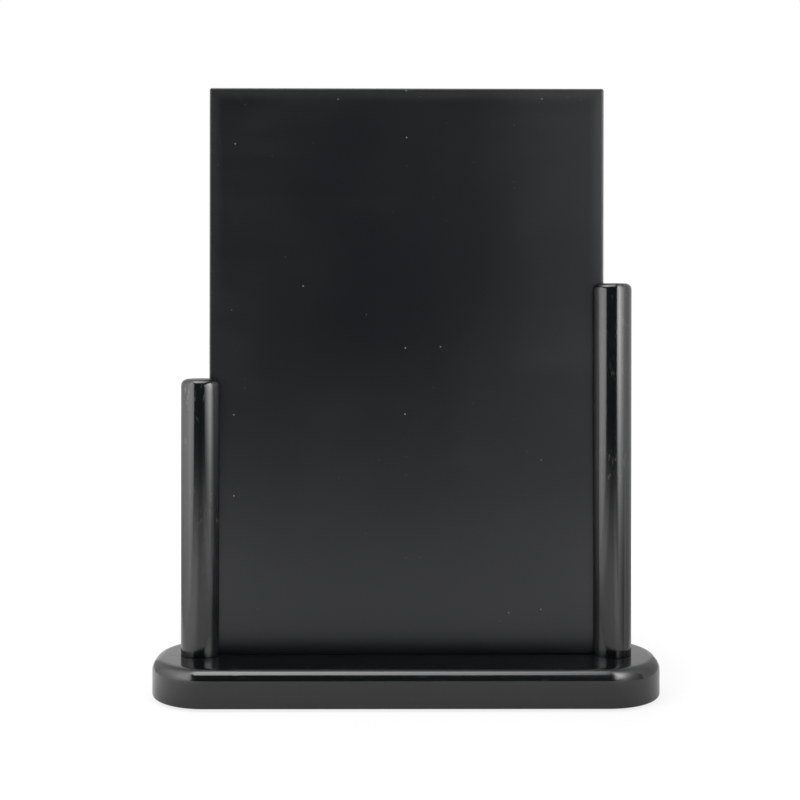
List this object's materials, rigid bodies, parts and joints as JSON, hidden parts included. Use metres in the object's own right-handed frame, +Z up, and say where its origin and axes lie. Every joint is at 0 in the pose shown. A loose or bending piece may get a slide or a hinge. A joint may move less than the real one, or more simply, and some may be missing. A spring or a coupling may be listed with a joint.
{
  "type": "tabletop menu chalkboard stand",
  "caption": "Upright chalkboard panel slotted between a short and a tall round post on a round-ended wooden base, for a menu on a table or counter.",
  "frame": {"origin": "on the table, under the middle of the base", "axes": "+X along the base from the short post to the tall post, +Y from the front face to the back face, +Z up"},
  "size_m": [0.268, 0.068, 0.3217],
  "materials": {
    "black_lacquer": "glossy black lacquer over close-grained wood, with the pores showing faintly",
    "chalkboard_paint": "satin black chalkboard paint over fibreboard",
    "zinc_plated_steel": "bright zinc plate",
    "black_felt": "dense black felt"
  },
  "bodies": {
    "stand": {"base_plank": "black_lacquer", "short_post": "black_lacquer", "tall_post": "black_lacquer", "short_post_screw": "zinc_plated_steel", "tall_post_screw": "zinc_plated_steel", "foot_pad_front_left": "black_felt", "foot_pad_front_right": "black_felt", "foot_pad_back_left": "black_felt", "foot_pad_back_right": "black_felt"},
    "panel": {"chalkboard_panel": "chalkboard_paint"}
  },
  "joints": [
    {"name": "panel_lift", "type": "slide", "parent": "stand", "child": "panel", "axis": [0, 0, 1], "range_m": [0, 0.205]}
  ]
}
